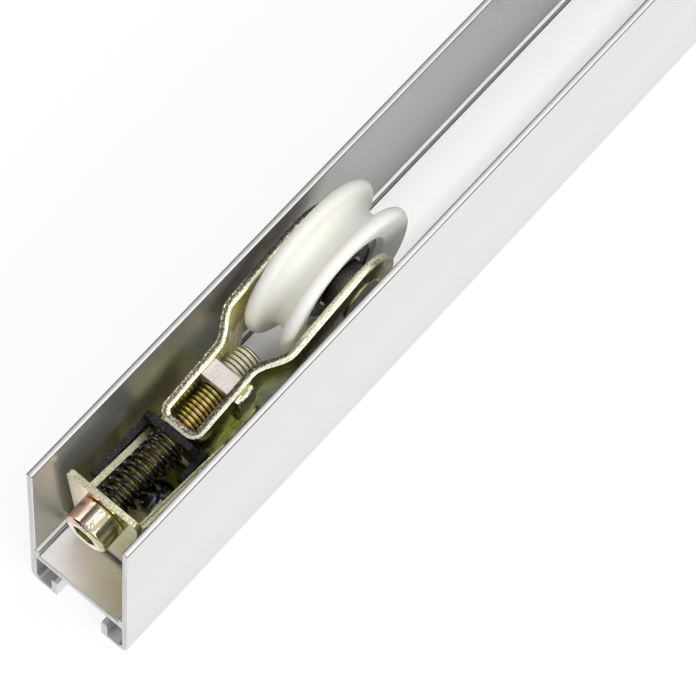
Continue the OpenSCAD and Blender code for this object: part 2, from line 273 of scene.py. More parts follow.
def zinc(name, pink, rough, gold, seed=0.0, dark=1.0, lean=0.0, far=None):
    """Yellow zinc plating: gold-green with patches of pink and olive.
    Lean pushes the left side to pink, and far is a colour that it takes on beside the wheel, used as a
    painted reflection of the dark rail wall there."""
    n = Nodes(name)
    tint = n.noise(120 + seed, 3, 0.5, (1, 1.3, 1), 0.6)
    if lean:
        slant = n.span(n.along(1), -0.009, 0.009, 0.02, 0.02 + lean)
        tint = n.math("ADD", n.math("MULTIPLY", tint, 0.55), slant)
    cloud = n.noise(420 + seed, 4, 0.6)
    grain = n.noise(5200, 2, 0.6)
    scratch = n.noise(2600, 2, 0.5, (0.05, 1, 1))

    def tone(*c):
        return tuple(dark * v for v in c)

    colour = n.ramp(
        tint,
        [
            (0.30, tone(0.48, 0.53, 0.16)),
            (0.44, tone(*gold)),
            (0.56, tone(0.80, 0.74, 0.50)),
            (0.66, tone(0.84, 0.60 + 0.1 * (1 - pink), 0.46)),
            (0.76, tone(0.80, 0.70, 0.58)),
        ],
    )
    colour = n.mix(n.span(cloud, 0.55, 0.75, 0.0, 0.35, True), colour, tone(0.42, 0.40, 0.18))
    # painted reflection: beside the wheel the face takes the far colour, standing for the dark wall it
    # mirrors
    if far:
        colour = n.mix(n.span(n.along(0), -0.074, -0.060, 0.0, 0.85, True), colour, far)
    n.set(Base_Color=colour, Metallic=1.0)
    n.set(Roughness=n.span(cloud, 0.3, 0.7, rough - 0.04, rough + 0.07))
    low = n.bump(cloud, 0.05, 0.0002)
    low = n.bump(scratch, 0.07, 0.00003, low)
    n.set(Normal=n.bump(grain, 0.10, 0.00002, low))
    return n.mat


def sheared(name, light=(0.90, 0.86, 0.64), shade=(0.16, 0.14, 0.10), split=True, line=0.0):
    """The cut edge of plated sheet: a rough broken band outside and a smooth sheared one inside."""
    n = Nodes(name)
    across = n.uv()[1]
    strokes = n.uv_noise(4.2, (1.0, 1.5, 1))
    wander = n.span(n.noise(700, 2), 0.3, 0.7, -0.06, 0.06)
    place = n.math("ADD", across, wander)
    pits = n.noise(4200, 3, 0.7)
    spark = n.spark(4300)
    dark = n.span(spark, 0.15, 0.5, 0.15, 1.0, True)
    middle = tuple(0.55 * c for c in light)
    fine = n.ramp(strokes, [(0.37, middle), (0.46, light), (0.66, (1.0, 0.97, 0.82))])
    fine = n.mix(n.span(spark, 0.80, 0.92, 0.0, 0.5, True), fine, tuple(0.35 * c for c in light))
    broken = n.mix(dark, tuple(0.8 * c for c in light), shade)
    if split:
        both = n.mix(n.span(place, 0.58, 0.66, 1.0, 0.0, True), fine, broken)
    else:
        both = n.mix(0.3, fine, broken)
    if line:
        seam = n.math("ABSOLUTE", n.math("SUBTRACT", place, line))
        both = n.mix(n.span(seam, 0.05, 0.13, 0.8, 0.0, True), both, shade)
    n.set(Base_Color=both, Metallic=0.9, Roughness=n.span(spark, 0.0, 1.0, 0.26, 0.42))
    low = n.bump(strokes, 0.2, 0.00010)
    low = n.bump(pits, 0.35, 0.00006, low)
    n.set(Normal=n.bump(spark, 0.3, 0.00005, low))
    return n.mat


def nylon():
    n = Nodes("tyre_nylon")
    cloud = n.noise(160, 3)
    grain = n.noise(2600, 2)
    n.set(Base_Color=n.ramp(cloud, [(0.3, (0.955, 0.945, 0.84)), (0.7, (0.985, 0.98, 0.905))]))
    n.set(Roughness=n.span(grain, 0.3, 0.7, 0.34, 0.44), Subsurface_Weight=1.0)
    n.bsdf.inputs["Subsurface Radius"].default_value = (1.0, 0.95, 0.85)
    n.bsdf.inputs["Subsurface Scale"].default_value = 0.0018
    n.set(Specular_IOR_Level=0.28, IOR=1.53)
    # a faint glow stands for light that scatters right through the moulding
    n.set(Emission_Color=(0.98, 0.97, 0.88, 1), Emission_Strength=0.05)
    low = n.bump(cloud, 0.05, 0.0004)
    n.set(Normal=n.bump(grain, 0.06, 0.00003, low))
    return n.mat


def black_plastic(name="shoe_plastic", rough=0.34, glint=0.5, flecks=0.7):
    """Black moulding with a fine cast texture and small pale flecks."""
    n = Nodes(name)
    grain = n.noise(1500, 4, 0.65)
    cloud = n.noise(300, 3)
    colour = n.ramp(cloud, [(0.3, (0.004, 0.004, 0.005)), (0.7, (0.014, 0.013, 0.016))])
    pale = n.span(n.noise(2400, 3, 0.75, (1, 1, 1), 0.6), 0.53, 0.64, 0.0, flecks, True)
    colour = n.mix(pale, colour, (0.115, 0.10, 0.12))
    n.set(Base_Color=colour, Roughness=n.span(grain, 0.3, 0.7, rough - 0.1, rough + 0.12))
    n.set(Specular_IOR_Level=0.25)
    n.set(Normal=n.bump(grain, glint, 0.0004))
    return n.mat


def wire():
    n = Nodes("spring_wire")
    grain = n.noise(2200, 3, 0.6)
    n.set(Base_Color=n.ramp(grain, [(0.35, (0.020, 0.018, 0.018)), (0.7, (0.09, 0.082, 0.084))]))
    n.set(Metallic=0.9, Roughness=n.span(grain, 0.3, 0.7, 0.10, 0.18), Coat_Weight=0.6, Coat_Roughness=0.06)
    n.set(Normal=n.bump(grain, 0.12, 0.00004))
    return n.mat


def thread_metal():
    """Plated thread: painted shade in the roots, partly oil there too, and a painted highlight on the crests.
    The UV holds the height of the ridge.
    """
    n = Nodes("screw_thread")
    height = n.uv()[0]
    tint = n.noise(240, 3, 0.5)
    grain = n.noise(3000, 3, 0.6)
    flank = n.ramp(
        tint,
        [
            (0.36, (0.58, 0.58, 0.13)),
            (0.5, (0.72, 0.64, 0.20)),
            (0.64, (0.76, 0.48, 0.17)),
            (0.70, (0.62, 0.58, 0.17)),
        ],
    )
    crest_highlight = n.ramp(tint, [(0.4, (1.0, 0.98, 0.70)), (0.66, (1.0, 0.86, 0.62))])
    past_nut = n.span(n.uv()[1], 0.80, 0.84, 0.0, 1.0, True)
    # painted shade where the spring's coils cover the screw
    spring_shade = n.span(n.uv()[1], 0.42, 0.48, 0.65, 0.0, True)
    flank = n.mix(past_nut, flank, (0.98, 0.96, 0.80))
    # painted shade, partly oil: the roots go near black
    colour = n.mix(n.span(height, 0.02, 0.24, 0.0, 1.0, True), (0.045, 0.03, 0.010), flank)
    crest_highlight = n.mix(past_nut, crest_highlight, (1.0, 1.0, 0.92))
    # painted highlight along the crests
    colour = n.mix(n.span(height, 0.74, 0.97, 0.0, 1.0, True), colour, crest_highlight)
    colour = n.mix(spring_shade, colour, (0.12, 0.11, 0.03))
    n.set(Base_Color=colour, Metallic=n.span(past_nut, 0.0, 1.0, 1.0, 0.4))
    n.set(Roughness=n.span(grain, 0.3, 0.7, 0.24, 0.36))
    n.set(Normal=n.bump(grain, 0.12, 0.00004))
    return n.mat


def head_metal():
    """Plated screw head: pink to the left, green-yellow to the right, with fine dark specks."""
    n = Nodes("screw_head")
    tint = n.noise(120, 2, 0.5, (1, 1, 1), 0.8)
    place = n.math("ADD", n.math("MULTIPLY", tint, 0.5), n.span(n.along(1), -0.005, 0.005, 0.0, 0.5))
    specks = n.noise(2300, 3, 0.7)
    spots = n.span(n.spark(2600), 0.45, 0.7, 0.0, 1.0, True)
    band = n.span(n.noise(330, 2, 0.5, (0.4, 1, 1)), 0.50, 0.62, 0.0, 0.8, True)
    colour = n.ramp(
        place,
        [
            (0.22, (0.56, 0.53, 0.30)),
            (0.38, (0.72, 0.65, 0.44)),
            (0.52, (0.84, 0.71, 0.58)),
            (0.70, (0.75, 0.53, 0.43)),
        ],
    )
    colour = n.mix(n.math("MULTIPLY", spots, band), colour, (0.16, 0.13, 0.09))
    n.set(Base_Color=colour, Metallic=1.0, Roughness=n.span(specks, 0.35, 0.65, 0.10, 0.20))
    n.set(Normal=n.bump(specks, 0.10, 0.00008))
    return n.mat


def face_metal():
    """The turned front face of the screw head, pale pink."""
    n = Nodes("screw_face")
    tint = n.noise(260, 2, 0.5)
    specks = n.noise(2300, 3, 0.7)
    n.set(Base_Color=n.ramp(tint, [(0.35, (0.88, 0.78, 0.66)), (0.6, (0.93, 0.82, 0.76))]), Metallic=1.0)
    n.set(Roughness=n.span(specks, 0.35, 0.65, 0.2, 0.34), Normal=n.bump(specks, 0.12, 0.00006))
    return n.mat


def steel(name, tone, rough, metallic=1.0, bump=0.12, turned=False):
    n = Nodes(name)
    grain = n.noise(3200, 3, 0.6)
    cloud = n.noise(260, 3)
    dark = tuple(0.78 * c for c in tone)
    n.set(Base_Color=n.ramp(cloud, [(0.3, dark), (0.65, tone)]), Metallic=metallic)
    n.set(Roughness=n.span(grain, 0.3, 0.7, rough - 0.05, rough + 0.07))
    n.set(Normal=n.bump(grain, bump, 0.00004))
    if turned:
        n.bsdf.inputs["Anisotropic"].default_value = 0.4
    return n.mat


def nut_metal():
    n = Nodes("nut_steel")
    specks = n.noise(2600, 3, 0.7)
    tint = n.noise(260, 2, 0.5, (1, 1, 1), 0.5)
    colour = n.ramp(tint, [(0.35, (0.74, 0.70, 0.56)), (0.5, (0.76, 0.68, 0.67)), (0.65, (0.76, 0.66, 0.70))])
    colour = n.mix(n.span(specks, 0.58, 0.66, 0.0, 0.7, True), colour, (0.34, 0.26, 0.2))
    n.set(Base_Color=colour, Metallic=0.85, Roughness=n.span(specks, 0.3, 0.7, 0.3, 0.42))
    n.set(Normal=n.bump(specks, 0.2, 0.00006))
    return n.mat


RAIL = anodised("anodised_rail", 0.725)
# a paler copy of the same anodising for the walls inside the channel: painted light
RAIL_IN_LIT = anodised("anodised_inside_lit", 0.82)
# painted dark reflection on the rail's rounded corners
CORNER_REFLECTION = dark_corner_reflection()
SAWN = sawn()
ZINC = zinc("zinc_sheet", pink=0.2, rough=0.26, gold=(0.62, 0.60, 0.20))
ZINC_OUT = zinc(
    "zinc_outer", pink=0.1, rough=0.24, gold=(0.56, 0.60, 0.20), seed=9.0, dark=1.25, lean=0.28,
    # far: the painted dark reflection near the wheel
    far=(0.44, 0.40, 0.27),
)
# a darker copy of the plating for the bracket's base and ramp and inside cut holes: painted shade
ZINC_SHADED = zinc(
    "zinc_base_shaded", pink=0.1, rough=0.26, gold=(0.50, 0.54, 0.14), seed=5.0, dark=0.75
)
# the cheeks' plating at 0.42 of its tone: painted shade
ZINC_CHEEK_SHADED = zinc(
    "zinc_cheek_shaded", pink=0.1, rough=0.28, gold=(0.62, 0.50, 0.32), seed=2.0, dark=0.42, lean=0.12
)
ZINC_PLATE = zinc(
    "zinc_plate", pink=0.9, rough=0.10, gold=(0.68, 0.64, 0.30), seed=7.0, dark=1.12, lean=0.40
)
EDGE = sheared("zinc_sheared_edge")
EDGE_PLAIN = sheared(
    "zinc_plain_edge", light=(0.74, 0.72, 0.46), shade=(0.20, 0.18, 0.10), split=False
)
EDGE_SEAM = sheared(
    "zinc_seamed_edge", light=(0.66, 0.64, 0.36), shade=(0.12, 0.11, 0.06), split=False, line=0.6
)
NYLON = nylon()
SHOE = black_plastic()
SEAL = black_plastic("seal_rubber", rough=0.26, glint=0.15, flecks=0.25)
WIRE = wire()
THREAD = thread_metal()
HEAD = head_metal()
FACE = face_metal()
# a darker copy of the plating inside the hex socket: painted shade in the recess
SOCKET_SHADED = zinc(
    "socket_zinc_shaded", pink=0.1, rough=0.36, gold=(0.62, 0.66, 0.18), seed=3.0, dark=0.8, lean=0.06
)
NUT = nut_metal()
NUT_END = steel("nut_end_steel", (0.84, 0.81, 0.66), 0.16, bump=0.35)
BRIGHT = steel("bright_zinc", (0.80, 0.83, 0.86), 0.16)
PAN_HEAD = steel("pan_head_zinc", (0.34, 0.38, 0.42), 0.2)
SPACER = steel("spacer_steel", (0.20, 0.19, 0.19), 0.28)
BRONZE = steel("rivet_bronze", (0.60, 0.54, 0.44), 0.5, metallic=0.25, turned=True)
# a bright ring on the rivet head's rim: painted highlight
RIM_HIGHLIGHT = steel("rivet_rim_highlight", (0.86, 0.82, 0.58), 0.2)
POLISHED = steel("bearing_steel", (0.42, 0.42, 0.42), 0.14, bump=0.05)
CAGE = steel("cage_brass", (0.76, 0.58, 0.28), 0.3)


# ---------------------------------------------------------------- mesh helpers


def new_object(name, bm, mats, matrix, smooth, angle=35):
    """A mesh whose points were drawn in millimetres, placed by matrix with that baked in."""
    mesh = bpy.data.meshes.new(name)
    bmesh.ops.recalc_face_normals(bm, faces=bm.faces[:])
    bm.transform(matrix)
    bm.to_mesh(mesh)
    bm.free()
    for mat in mats:
        mesh.materials.append(mat)
    ob = bpy.data.objects.new(name, mesh)
    bpy.context.scene.collection.objects.link(ob)
    if smooth:
        mesh.shade_smooth()
        mesh.set_sharp_from_angle(angle=math.radians(angle))
    return ob


def bevel(ob, width, segments, angle=30):
    """Rounds the piece's corners by width millimetres, as real mesh."""
    mod = ob.modifiers.new("edge", "BEVEL")
    mod.width = width * MM
    mod.segments = segments
    mod.limit_method = "ANGLE"
    mod.angle_limit = math.radians(angle)
    mod.harden_normals = True
    mod.miter_outer = "MITER_ARC"


def apply_modifiers(ob):
    deps = bpy.context.evaluated_depsgraph_get()
    mesh = bpy.data.meshes.new_from_object(ob.evaluated_get(deps))
    ob.modifiers.clear()
    old = ob.data
    ob.data = mesh
    bpy.data.meshes.remove(old)


def cut(ob, cutters):
    """Takes the cutters out of ob and removes them."""
    for cutter in cutters:
        mod = ob.modifiers.new("cut", "BOOLEAN")
        mod.operation = "DIFFERENCE"
        mod.solver = "EXACT"
        mod.material_mode = "TRANSFER"
        mod.object = cutter
        apply_modifiers(ob)
        bpy.data.objects.remove(cutter)


def rod(name, matrix, r, lo, hi, mats):
    """A rod along the X of matrix, used as a cutter."""
    sides = 48
    bm = bmesh.new()
    rings = []
    for x in (lo, hi):
        ring = []
        for i in range(sides):
            a = 2 * math.pi * i / sides
            ring.append(bm.verts.new((x, r * math.cos(a), r * math.sin(a))))
        rings.append(ring)
    for i in range(sides):
        j = (i + 1) % sides
        bm.faces.new((rings[0][i], rings[0][j], rings[1][j], rings[1][i]))
    bm.faces.new(rings[0][::-1])
    bm.faces.new(rings[1])
    return new_object(name, bm, mats, matrix, False)


def box(name, matrix, lo, hi, mats):
    """A box between two corners, used as a cutter."""
    bm = bmesh.new()
    bmesh.ops.create_cube(bm, size=1.0)
    lo, hi = Vector(lo), Vector(hi)
    bm.transform(Matrix.Translation((lo + hi) / 2) @ Matrix.Diagonal((*(hi - lo), 1)))
    return new_object(name, bm, mats, matrix, False)


def lathe(name, profile, mats, matrix, steps, axis, closed=True, angle=32):
    """Turns a profile of (radius, place, material) about an axis. A radius of 0 closes the piece."""
    bm = bmesh.new()
    rings = []
    for r, t, _ in profile:
        if r < 1e-6:
            at = (0, t, 0) if axis == "Y" else (t, 0, 0)
            rings.append([bm.verts.new(at)])
            continue
        ring = []
        for i in range(steps):
            a = 2 * math.pi * i / steps
            c, s = r * math.cos(a), r * math.sin(a)
            ring.append(bm.verts.new((c, t, s) if axis == "Y" else (t, c, s)))
        rings.append(ring)
    pairs = list(range(len(profile) - 1)) + ([-1] if closed else [])
    for k in pairs:
        one, two = rings[k], rings[(k + 1) % len(rings)]
        mat = profile[k][2]
        for i in range(steps):
            j = (i + 1) % steps
            corners = []
            for v in (one[i % len(one)], one[j % len(one)], two[j % len(two)], two[i % len(two)]):
                if v not in corners:
                    corners.append(v)
            if len(corners) >= 3:
                bm.faces.new(corners).material_index = mat
    return new_object(name, bm, mats, matrix, True, angle)


def rounded(points, default=0.0, steps=5):
    """Rounds the corners of a closed outline. Each point is (x, y) or (x, y, radius),
    and one without a radius takes the default."""
    out = []
    count = len(points)
    for i in range(count):
        p = Vector(points[i][:2])
        r = points[i][2] if len(points[i]) > 2 else default
        a = (Vector(points[i - 1][:2]) - p).normalized()
        b = (Vector(points[(i + 1) % count][:2]) - p).normalized()
        if r <= 0:
            out.append(tuple(p))
            continue
        half = a.angle(b) / 2
        reach = r / math.tan(half)
        centre = p + (a + b).normalized() * (r / math.sin(half))
        one, two = p + a * reach - centre, p + b * reach - centre
        a0, a1 = math.atan2(one.y, one.x), math.atan2(two.y, two.x)
        turn = (a1 - a0 + math.pi) % (2 * math.pi) - math.pi
        for s in range(steps + 1):
            t = a0 + turn * s / steps
            out.append((centre.x + r * math.cos(t), centre.y + r * math.sin(t)))
    return out


def sheet(bm, outline, lo, hi, plane, face_mat=0, edge_mat=1):
    """Adds a flat plate: the outline drawn in one plane and made thick along the third axis.
    The UV runs along the edge in millimetres and across it from 0 to 1."""
    place = {
        "XZ": lambda p, d: (p[0], d, p[1]),
        "YZ": lambda p, d: (d, p[0], p[1]),
        "XY": lambda p, d: (p[0], p[1], d),
    }[plane]
    layer = bm.loops.layers.uv.verify()
    front = [bm.verts.new(place(p, lo)) for p in outline]
    back = [bm.verts.new(place(p, hi)) for p in outline]
    for ring in (front, back[::-1]):
        bm.faces.new(ring).material_index = face_mat
    run = 0.0
    for i in range(len(outline)):
        j = (i + 1) % len(outline)
        step = (Vector(outline[j]) - Vector(outline[i])).length
        face = bm.faces.new((front[i], front[j], back[j], back[i]))
        face.material_index = edge_mat
        for loop, uv in zip(face.loops, ((run, 0), (run + step, 0), (run + step, 1), (run, 1))):
            loop[layer].uv = uv
        run += step


# ---------------------------------------------------------------- rail


def build_rail():
    half = RAIL_HI.y / MM
    top = RAIL_HI.z / MM
    wall = 1.4
    inner = half - wall
    floor, floor_t = 14.7, 2.4
    flange, lip_t, lip_h, slot = 1.3, 1.5, 6.6, 5.85
    ledge_h, ledge_w = LEDGE / MM - floor, 0.95
    right = [
        (slot, 0, 0.45), (half, 0, 2.6), (half, top, 0.28), (inner, top, 0.22),
        (inner, floor + ledge_h, 0.12), (inner - ledge_w, floor + ledge_h, 0.25),
        (inner - ledge_w, floor, 0.3),
    ]
    left = [(-x, y, r) for x, y, r in right[::-1]]
    lip_out = slot + lip_t
    under_right = [
        (inner, floor - floor_t, 0.5), (inner, flange, 1.2), (lip_out, flange, 0.4),
        (lip_out, lip_h, 0.7), (slot, lip_h, 0.7),
    ]
    under_left = [(-x, y, r) for x, y, r in under_right[::-1]]
    outline = rounded(right + left + under_left + under_right)
    bm = bmesh.new()
    length = (RAIL_HI.x - RAIL_LO.x) / MM
    sheet(bm, outline, 0.0, length, "YZ", 1, 0)
    ob = new_object("rail", bm, [RAIL, SAWN, CORNER_REFLECTION, RAIL_IN_LIT], IN_RAIL, True, 30)
    # painted dark reflections along the rounded corners above the floor, and a paler copy of the finish on
    # the walls inside the channel, as painted light
    for poly in ob.data.polygons:
        poly.use_smooth = abs(poly.normal.x) < 0.5
        above = poly.center.z > floor * MM
        across = abs(poly.normal.y)
        if above and across > 0.25 and poly.normal.z > 0.25:
            poly.material_index = 2
        if above and across > 0.9 and abs(poly.center.y) < (inner + 0.1) * MM:
            poly.material_index = 3
    mod = ob.modifiers.new("burr", "BEVEL")
    mod.width = 0.12 * MM
    mod.segments = 1
    mod.limit_method = "ANGLE"
    mod.angle_limit = math.radians(60)
    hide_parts("rail_profile")
    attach(ob, "rail")


# ---------------------------------------------------------------- bracket


def build_bracket():
    ledge = LEDGE / MM
    mats = [EDGE_PLAIN, EDGE_SEAM, ZINC_SHADED, ZINC_CHEEK_SHADED]
    plain, seam, low, cheek = range(len(mats))
    # base, cheeks and ramp in the rail's frame
    bm = bmesh.new()
    near, far, half_w = 9.3, 52, 11.15
    base_plan = [(near, -half_w), (far, -half_w), (far, half_w), (near, half_w)]
    sheet(bm, rounded(base_plan, 0.8), ledge, ledge + SHEET, "XY", low, plain)
    right_cheek = [
        (9.2, ledge), (8.9, 44.7, 0.8), (34, 40.1, 3.0), (38.6, 37.2, 3.2), (39, 32, 2), (39, ledge),
    ]
    sheet(bm, rounded(right_cheek), -8.75, -7.15, "XZ", cheek, seam)
    left_cheek = [(9.8, ledge), (9.2, 42.6, 0.5), (27.6, 39.5, 0.25), (27.6, ledge)]
    sheet(bm, rounded(left_cheek), 4.45, 5.95, "XZ", cheek, plain)
    # the ramp follows the fork's lower edge from just under it
    gap, ramp_half = 0.3, 5.6
    tilt = math.radians(FORK_TILT)
    slope = math.tan(tilt)
    axle = AXLE - Vector((NEAR, 0, 0))
    edge_z = axle.z / MM - (FORK_HALF + gap) / math.cos(tilt) - slope * axle.x / MM
    start, end = 29.2, 48.0
    top = SHEET / math.cos(tilt)

    def edge(x):
        return edge_z + slope * x

    ramp = [
        (start, ledge), (start, edge(start), 1.2), (end, edge(end), 1.2), (end, ledge),
        (end - SHEET, ledge), (end - SHEET, edge(end - SHEET) - top),
        (start + SHEET, edge(start + SHEET) - top), (start + SHEET, ledge),
    ]
    sheet(bm, rounded(ramp), -ramp_half, ramp_half, "XZ", plain, low)
    base = new_object("bracket_sheet", bm, mats, IN_RAIL, True, 30)
    # end plate in the screw's frame
    bm = bmesh.new()
    screw_height = 41
    foot = -(screw_height - ledge) / math.cos(math.radians(SCREW_TILT)) + 0.3
    plate = [(-8.6, 7.1, 1.1), (9.3, 7.1, 1.1), (8.4, foot, 0.4), (-7.7, foot, 0.4)]
    sheet(bm, rounded(plate, steps=6), 0.06, 1.56, "YZ")
    ob = new_object("bracket_plate", bm, [ZINC_PLATE, EDGE_PLAIN], IN_SCREW, True, 30)
    slot = []
    for lift in (0.0, 0.5, 1.0):
        at = IN_SCREW @ Matrix.Translation((0, 0, lift))
        slot.append(rod("slot", at, 3.3, -1, 3, [ZINC_SHADED]))
    cut(ob, slot)
    bevel(base, 0.14, 2)
    bevel(ob, 0.16, 2)
    for piece in (base, ob):
        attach(piece, "rail")
    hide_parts("roller_bracket")
    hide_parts("roller_bracket")


def build_bracket_screw():
    # the profile runs up the screw, so its X is the rail's Z
    foot = Matrix.Translation((23.5, 0, LEDGE / MM + SHEET))
    at = IN_RAIL @ foot @ Matrix.Rotation(math.radians(-90), 4, "Y")
    dome = 6.3
    head = [(0.0, 2.3, 0)]
    for i in range(1, 9):
        a = math.radians(36 * i / 8)
        head.append((dome * math.sin(a), -4.0 + dome * math.cos(a), 0))
    head += [(3.68, 0.9, 0), (3.7, 0.3, 0), (3.55, 0.02, 0), (1.95, 0.02, 0), (1.95, -4.9, 0)]
    head += [(1.3, -5.6, 0), (0.0, -5.65, 0)]
    ob = lathe("bracket_screw_head", head, [PAN_HEAD], at, 64, "X", False)
    cross = []
    bar = Matrix.Translation((2.2, 0, 0)) @ Matrix.Diagonal((2.2, 3.6, 0.8, 1))
    for turn in (35, 125):
        bm = bmesh.new()
        bmesh.ops.create_cube(bm, size=1.0)
        bm.transform(Matrix.Rotation(math.radians(turn), 4, "X") @ bar)
        cross.append(new_object("cross", bm, [PAN_HEAD], at, False))
    cut(ob, cross)
    bevel(ob, 0.08, 2)
    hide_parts("bracket_screw")
    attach(ob, "rail")


# ---------------------------------------------------------------- fork


def fork_line():
    """Middle line of the bent strip as (x, y) in the fork's frame, from one arm's end to the other."""
    tail, neck, arm = FORK_TAIL + FORK_SHEET / 2, 4.25, 8.0
    bend, neck_end, swell, arm_start = 2.0, -26.2, 8.6, -17.6
    half = [(tail, 0.0), (tail, 1.2)]
    for i in range(9):
        a = math.radians(90 * i / 8)
        half.append((tail + bend * (1 - math.cos(a)), neck - bend * (1 - math.sin(a))))
    for x in (-36, -31):
        half.append((x, neck))
    steps = 22
    for i in range(steps + 1):
        u = i / steps
        half.append((neck_end + u * swell, neck + (arm - neck) * (1 - math.cos(math.pi * u)) / 2))
    for i in range(1, 9):
        half.append((arm_start - arm_start * i / 8, arm))
    for i in range(1, 25):
        half.append((FORK_HALF * math.sin(math.pi / 2 * i / 24), arm))
    return [(x, -y) for x, y in half[:0:-1]] + half


def shade_across(point, across):
    """Where a place across the strip falls between its dark side, 0, and its bright side, 1."""
    if point.y > 3:
        return across
    plain = min(max((point.x + 24) / 7, 0.0), 1.0) if point.y < 0 else 0.0
    return (1 - across) * (1 - 0.68 * plain) + 0.68 * plain


def build_fork():
    line = [Vector(p) for p in fork_line()]
    # section across the strip: (distance from the middle line, up or down, drop, material)
    ring = [
        (-0.90, 1, 0.40, 2), (-0.84, 1, 0.24, 1), (-0.68, 1, 0.15, 1), (-0.06, 1, 0.01, 1),
        (0.06, 1, 0.01, 1), (0.68, 1, 0.15, 1), (0.84, 1, 0.24, 1), (0.90, 1, 0.40, 0),
        (0.90, -1, 0.30, 1), (0.78, -1, 0.10, 1), (0.60, -1, 0.0, 1), (-0.60, -1, 0.0, 1),
        (-0.80, -1, 0.10, 1), (-0.90, -1, 0.30, 0),
    ]
    bm = bmesh.new()
    layer = bm.loops.layers.uv.verify()
    rings = []
    run = [0.0]
    for i, p in enumerate(line):
        a = line[max(i - 1, 0)]
        b = line[min(i + 1, len(line) - 1)]
        d = (b - a).normalized()
        side = Vector((-d.y, d.x))
        half = FORK_HALF
        if p.x > 0:
            half = math.sqrt(max(FORK_HALF ** 2 - p.x ** 2, 0.25))
        verts = []
        for off, sign, drop, _ in ring:
            q = p - side * off
            z = sign * max(half - drop, 0.0)
            verts.append(bm.verts.new((q.x, q.y, z)))
        rings.append(verts)
        if i:
            run.append(run[-1] + (p - line[i - 1]).length)
    for i in range(len(rings) - 1):
        for k in range(len(ring)):
            m = (k + 1) % len(ring)
            face = bm.faces.new((rings[i][k], rings[i + 1][k], rings[i + 1][m], rings[i][m]))
            face.material_index = ring[k][3]
            # k = 7 joins the top to the bottom on the inside of the strip, 13 on the outside
            if k in (7, 13):
                face.material_index = 0 if k == 7 else 2
            for loop, (at, off) in zip(face.loops, ((i, k), (i + 1, k), (i + 1, m), (i, m))):
                across = (ring[off][0] + FORK_SHEET / 2) / FORK_SHEET
                loop[layer].uv = (run[at], shade_across(line[at], across))
    for end in (rings[0], rings[-1]):
        bm.faces.new(end).material_index = 1
    ob = new_object("fork_strip", bm, [ZINC, EDGE, ZINC_OUT], IN_FORK, True, 28)
    # the cut faces of hole and window take the darker plating, painted shade
    hole = rod("hole", IN_SCREW, 3.6, 15, 24, [ZINC_SHADED])
    window_lo, window_hi = (NUT_NEAR - 0.1, -12, -5.0), (NUT_FAR + 0.1, 12, 5.0)
    cut(ob, [hole, box("window", IN_SCREW, window_lo, window_hi, [ZINC_SHADED])])
    ob.data.shade_smooth()
    ob.data.set_sharp_from_angle(angle=math.radians(28))
    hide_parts("wheel_fork")
    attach(ob, "carriage")


# ---------------------------------------------------------------- shoe


def build_shoe():
    bm = bmesh.new()
    front = FORK_TAIL - 1.7
    wall = [
        (-6.9, -9.5, 0.5), (8, -9.5, 0.5), (8, 3.4, 0.6), (7.6, 5.8, 1), (6.6, 8, 1), (5, 9.7, 0.7),
        (-4.9, 9.7, 0.8), (-6.3, 7.6, 0.8), (-6.9, 4.5),
    ]
    sheet(bm, rounded(wall), front, front + 1.6, "YZ", 0, 0)
    wall_ob = new_object("shoe_wall", bm, [SHOE], IN_FORK, True, 30)
    cut(wall_ob, [rod("hole", IN_SCREW, 3.3, 15, 24, [SHOE])])
    bevel(wall_ob, 0.3, 3)
    bm = bmesh.new()
    left = [(-60.5, -6, 0.8), (-60.5, 6.0, 1.0), (front + 1.2, 3.5, 0.1), (front + 1.2, -6, 0.1)]
    sheet(bm, rounded(left), 6.4, 8.0, "XZ", 0, 0)
    right = [(-50.6, -6, 0.8), (-50.6, 4.5, 0.8), (front + 2.5, 4.5, 0.3), (front + 2.5, -6, 0.3)]
    sheet(bm, rounded(right), -6.9, -5.4, "XZ", 0, 0)
    legs = new_object("shoe_legs", bm, [SHOE], IN_FORK, True, 30)
    bevel(legs, 0.3, 3)
    for ob in (wall_ob, legs):
        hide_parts("guide_shoe")
        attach(ob, "carriage")


# ---------------------------------------------------------------- nut


def build_nut():
    bm = bmesh.new()
    square = [(NUT_NEAR, -4.9), (NUT_FAR, -4.9), (NUT_FAR, 4.9), (NUT_NEAR, 4.9)]
    sheet(bm, square, -5.3, 5.1, "XZ", 0, 0)
    block = new_object("nut_block", bm, [NUT], IN_SCREW, True, 30)
    cut(block, [rod("bore", IN_SCREW, 3.05, 30, 40, [NUT])])
    bevel(block, 0.22, 3)
    # the end spread by hammering, with the dents of the blows, one noise for each axis
    dent_places = ((3, 1, 5), (11, 7, 2), (5, 13, 8))
    centre_x, centre_y = 34.5, -5.9
    half_x, half_y, half_z = 2.45, 0.68, 5.15
    bm = bmesh.new()
    bmesh.ops.create_cube(bm, size=1.0)
    bmesh.ops.subdivide_edges(bm, edges=bm.edges[:], cuts=4, use_grid_fill=True)
    for v in bm.verts:
        x, y, z = v.co * 2
        dent = Vector([noise.noise(v.co * 2.3 + Vector(place)) for place in dent_places])
        x *= 0.95 - 0.14 * max(-y, 0.0) * abs(z) + 0.05 * dent.x
        z *= 0.96 - 0.10 * max(-y, 0.0) * abs(x) + 0.04 * dent.z
        y = max(y + (0.30 * abs(dent.y) + 0.35 * abs(z) ** 3 if y < 0 else 0.0), -1.0)
        v.co = Vector((centre_x + half_x * x, centre_y + half_y * y, half_z * z))
    end = new_object("nut_end", bm, [NUT_END], IN_SCREW, False)
    bevel(end, 0.08, 1, 20)
    for ob in (block, end):
        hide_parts("cross_nut")
        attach(ob, "carriage")


# ---------------------------------------------------------------- screw


